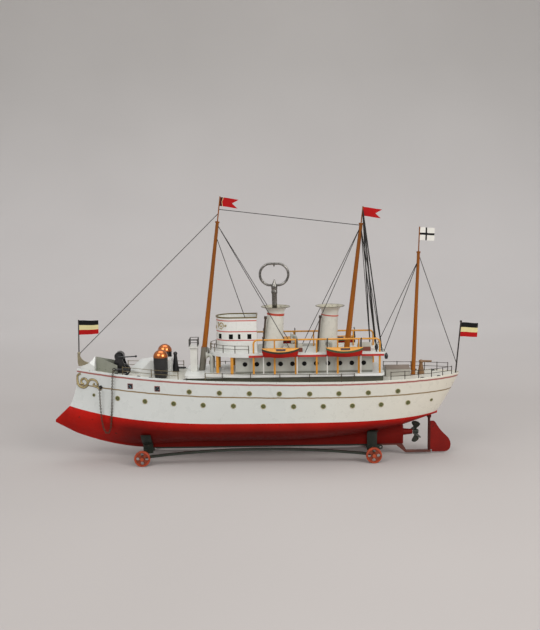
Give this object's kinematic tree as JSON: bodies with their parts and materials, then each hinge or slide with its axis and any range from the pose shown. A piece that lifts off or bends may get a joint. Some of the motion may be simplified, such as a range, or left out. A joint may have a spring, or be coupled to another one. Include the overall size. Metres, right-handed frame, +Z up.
{
  "type": "toy boat",
  "caption": "Clockwork tin passenger ship with portholed hull, deckhouse, funnels, masts with flags, lifeboats, winding key, screw and rudder, resting on a wheeled carriage.",
  "frame": {"origin": "middle of the bounding box at the height of the wheels' lowest points", "axes": "+X along the ship to its stern, -Y to the port side, +Z up"},
  "size_m": [0.642, 0.123, 0.3956],
  "materials": {
    "white_paint": "aged gloss enamel on tinplate",
    "red_paint": "aged gloss enamel on tinplate",
    "black_green_paint": "worn satin enamel",
    "deck_paint": "satin enamel with drawn plank lines",
    "grey_paint": "satin enamel",
    "gilt": "dull gilt",
    "black_paint": "satin black enamel",
    "ochre_paint": "gloss enamel",
    "brown_paint": "gloss enamel",
    "copper": "burnished copper lacquer",
    "iron": "blackened chain",
    "flag_paint": "painted tin flags",
    "thread": "waxed black thread",
    "brass": "aged brass",
    "steel": "bright drawn steel",
    "wheel_paint": "worn orange-red enamel"
  },
  "bodies": {
    "carriage": {"axles": "black_green_paint", "carriage_saddles": "black_green_paint", "side_bars": "black_green_paint"},
    "ship": {"hull_topsides": "white_paint", "hull_bottom": "red_paint", "ram": "red_paint", "counter": "red_paint", "stern_post": "red_paint", "keel_bar": "black_green_paint", "main_deck": "deck_paint", "bow_whaleback": "white_paint", "breakwater": "grey_paint", "bow_scrolls": "gilt", "porthole_rims": "gilt", "hawse_pipes": "black_paint", "plinth": "black_green_paint", "promenade_plate": "white_paint", "deckhouse": "grey_paint", "boat_deck": "white_paint", "house_posts": "ochre_paint", "awning_rails": "ochre_paint", "bridge_deck": "white_paint", "wheelhouse": "white_paint", "wheelhouse_rim": "gilt", "funnels": "white_paint", "steam_pipes": "brown_paint", "skylights": "grey_paint", "cowl_vents": "grey_paint", "lookout_stand": "white_paint", "davits": "white_paint", "lifeboat_hulls": "red_paint", "lifeboat_covers": "ochre_paint", "fore_hatch": "white_paint", "capstan_drums": "black_paint", "capstan_domes": "copper", "windlass": "black_paint", "anchor": "black_paint", "anchor_chain": "iron", "deck_guns": "black_paint", "guard_rails": "black_paint", "masts": "brown_paint", "flagstaffs": "brown_paint", "flags": "flag_paint", "rigging": "thread", "movement_plates": "brass", "movement_pillars": "brass", "mainspring": "steel", "stern_tube": "red_paint", "rudder_gudgeon": "red_paint"},
    "wheel_fore_port": {"wheel_fore_port": "wheel_paint"},
    "wheel_fore_starboard": {"wheel_fore_starboard": "wheel_paint"},
    "wheel_aft_port": {"wheel_aft_port": "wheel_paint"},
    "wheel_aft_starboard": {"wheel_aft_starboard": "wheel_paint"},
    "rudder": {"rudder": "red_paint"},
    "great_wheel": {"great_wheel": "brass"},
    "second_arbor": {"second_arbor": "brass"},
    "screw": {"prop_shaft": "steel", "propeller": "black_green_paint"},
    "winding_arbor": {"winding_arbor": "steel"},
    "key": {"key": "steel"}
  },
  "joints": [
    {"name": "ship_lift", "type": "slide", "parent": "carriage", "child": "ship", "axis": [0, 0, 1], "range_m": [0, 0.04]},
    {"name": "wheel_fore_port_spin", "type": "hinge", "parent": "carriage", "child": "wheel_fore_port", "pos_m": [-0.1845, -0.0445, 0.0118], "axis": [0, 1, 0], "continuous": true},
    {"name": "wheel_fore_starboard_spin", "type": "hinge", "parent": "carriage", "child": "wheel_fore_starboard", "pos_m": [-0.1845, 0.0445, 0.0118], "axis": [0, 1, 0], "continuous": true},
    {"name": "wheel_aft_port_spin", "type": "hinge", "parent": "carriage", "child": "wheel_aft_port", "pos_m": [0.159, -0.0445, 0.0118], "axis": [0, 1, 0], "continuous": true},
    {"name": "wheel_aft_starboard_spin", "type": "hinge", "parent": "carriage", "child": "wheel_aft_starboard", "pos_m": [0.159, 0.0445, 0.0118], "axis": [0, 1, 0], "continuous": true},
    {"name": "rudder_turn", "type": "hinge", "parent": "ship", "child": "rudder", "pos_m": [0.2485, 0, 0.035], "axis": [0, 0, 1], "range_deg": [-35, 35]},
    {"name": "great_wheel_spin", "type": "hinge", "parent": "ship", "child": "great_wheel", "pos_m": [0.015, 0, 0.0695], "axis": [0, 0, 1], "continuous": true},
    {"name": "second_arbor_spin", "type": "hinge", "parent": "ship", "child": "second_arbor", "pos_m": [0.0452, 0, 0.07], "axis": [0, 0, 1], "continuous": true},
    {"name": "screw_spin", "type": "hinge", "parent": "ship", "child": "screw", "pos_m": [0.228, 0, 0.035], "axis": [1, 0, 0], "continuous": true},
    {"name": "arbor_wind", "type": "hinge", "parent": "ship", "child": "winding_arbor", "pos_m": [0.015, 0, 0.1], "axis": [0, 0, 1], "continuous": true},
    {"name": "key_lift", "type": "slide", "parent": "winding_arbor", "child": "key", "axis": [0, 0, 1], "range_m": [0, 0.045]}
  ],
  "couplings": [
    {"joint": "second_arbor_spin", "follows": "screw_spin", "ratio": -0.33333},
    {"joint": "great_wheel_spin", "follows": "screw_spin", "ratio": 0.083333}
  ]
}
